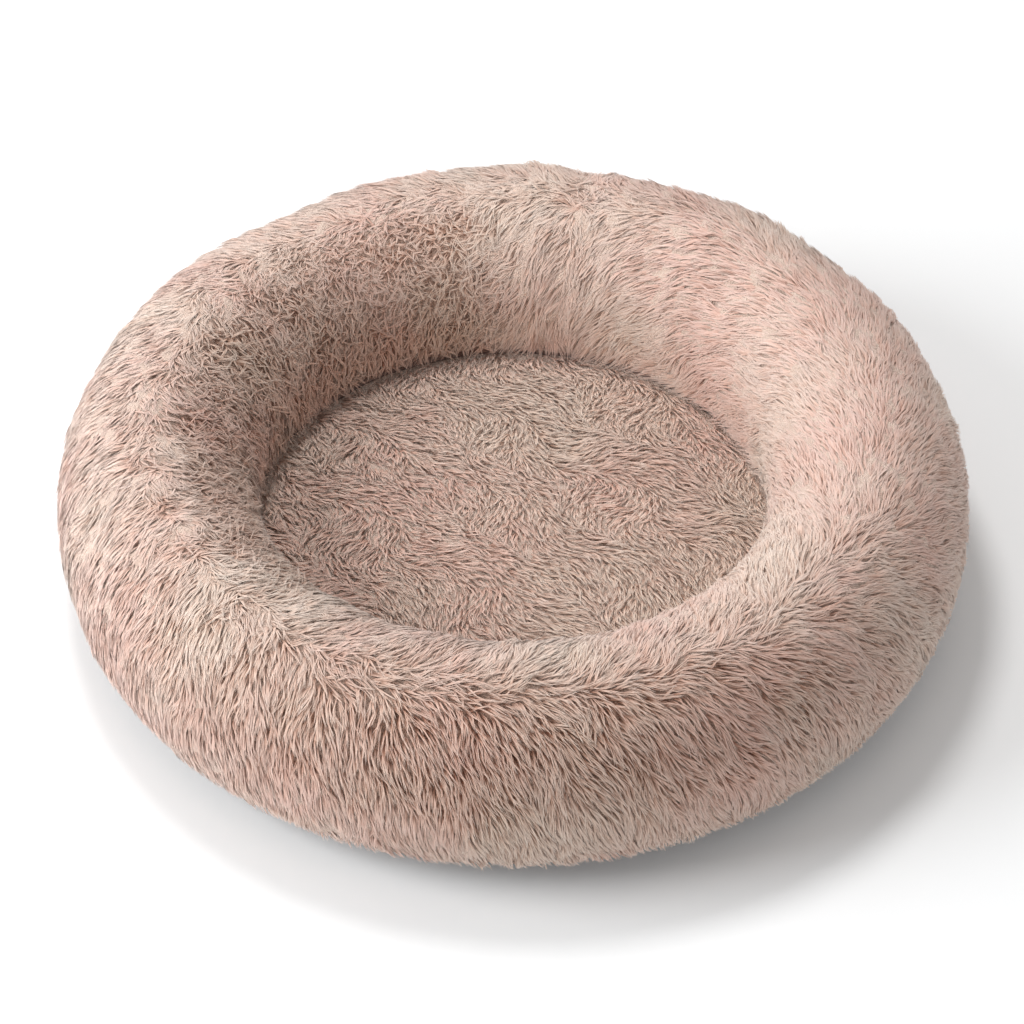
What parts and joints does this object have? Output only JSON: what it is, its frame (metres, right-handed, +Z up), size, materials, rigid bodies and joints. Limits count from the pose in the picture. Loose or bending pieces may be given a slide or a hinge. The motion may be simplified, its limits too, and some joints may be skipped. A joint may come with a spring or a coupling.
{
  "type": "donut pet bed",
  "caption": "Round plush pet bed: a high stuffed ring round a crowned sleeping floor, in a zip-off long-pile cover with a flat non-slip base.",
  "frame": {"origin": "on the ground, under the middle of the bed", "axes": "+Z up, square to the ground; -Y towards the front of the bed, the side the picture was taken from; +X to the right seen from the front"},
  "size_m": [1.2004, 1.2007, 0.2877],
  "materials": {
    "plush": "dusty rose long-pile shag, lying in clumped locks",
    "base_cloth": "woven non-slip cloth with raised grip dots",
    "liner_cloth": "white non-woven liner cloth",
    "fibre": "white polyester fibre filling",
    "zip_tape": "woven tape dyed to match the plush",
    "zip_coil": "satin nylon coil",
    "zip_metal": "satin grey zinc"
  },
  "bodies": {
    "bed": {"wall_panel_left": "plush", "wall_panel_front": "plush", "wall_panel_right": "plush", "floor_panel": "plush", "floor_seam_tape": "zip_tape", "base_panel": "base_cloth", "pad_liner_top": "liner_cloth", "pad_liner_bottom": "liner_cloth", "pad_fibre_fill": "fibre", "ring_liner_top": "liner_cloth", "ring_liner_bottom": "liner_cloth", "ring_fibre_fill": "fibre", "zip_tape_upper": "zip_tape", "zip_tape_lower": "zip_tape", "zip_coil_upper": "zip_coil", "zip_coil_lower": "zip_coil", "zip_stop_open_end": "zip_metal", "zip_stop_closed_end": "zip_metal"},
    "slider": {"zip_slider": "zip_metal"},
    "pull": {"zip_pull": "zip_metal"}
  },
  "joints": [
    {"name": "slider_travel", "type": "hinge", "parent": "bed", "child": "slider", "pos_m": [0, 0, 0.035], "axis": [0, 0, -1], "range_deg": [0, 157]},
    {"name": "pull_swing", "type": "hinge", "parent": "slider", "child": "pull", "pos_m": [-0.51743, 0.2131, 0.03204], "axis": [-0.4976, 0.2049, 0.8429], "range_deg": [-86, 86]}
  ]
}
